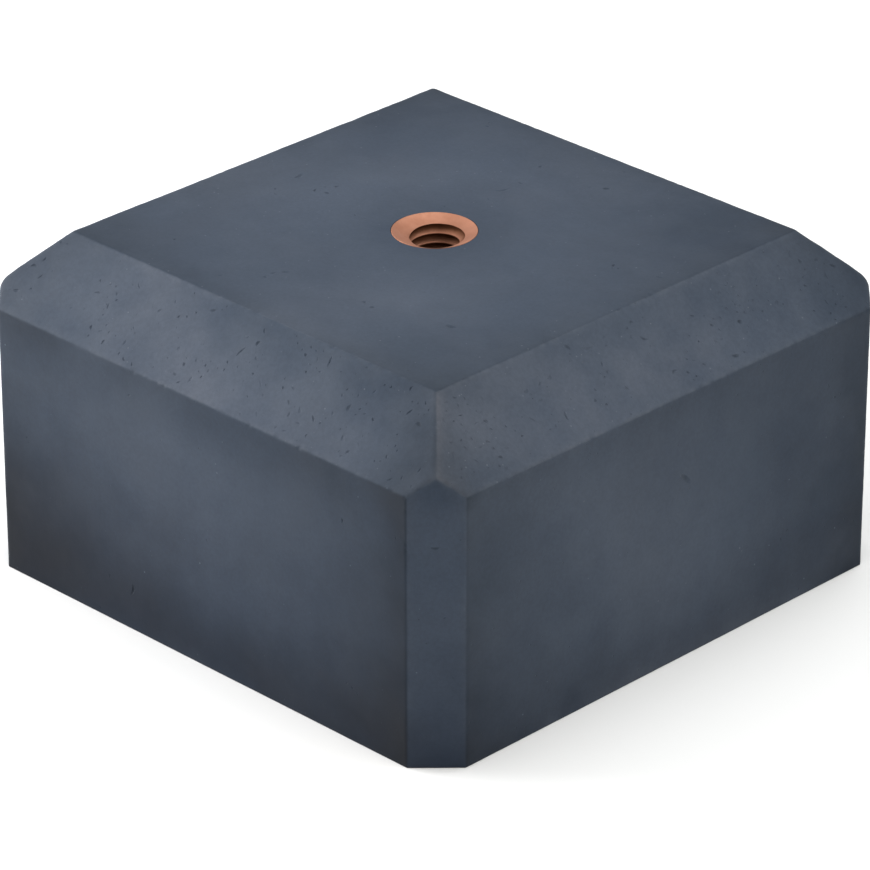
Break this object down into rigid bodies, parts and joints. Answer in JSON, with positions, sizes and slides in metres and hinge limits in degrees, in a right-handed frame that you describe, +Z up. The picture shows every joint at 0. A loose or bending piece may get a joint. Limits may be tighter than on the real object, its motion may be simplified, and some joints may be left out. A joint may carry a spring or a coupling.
{
  "type": "column base block",
  "caption": "Square concrete column base block with a 45 degree chamfer round its flat top, small upright corner facets and a threaded metal socket set flush in the middle.",
  "frame": {"origin": "centre of the underside", "axes": "+Z up through the socket, the four sides facing X and Y"},
  "size_m": [0.18, 0.18, 0.1],
  "materials": {
    "concrete": "smooth cast dark grey concrete with fine air holes",
    "socket_metal": "satin copper-coloured turned metal"
  },
  "bodies": {
    "root": {"concrete_block": "concrete", "threaded_socket": "socket_metal"}
  },
  "joints": []
}
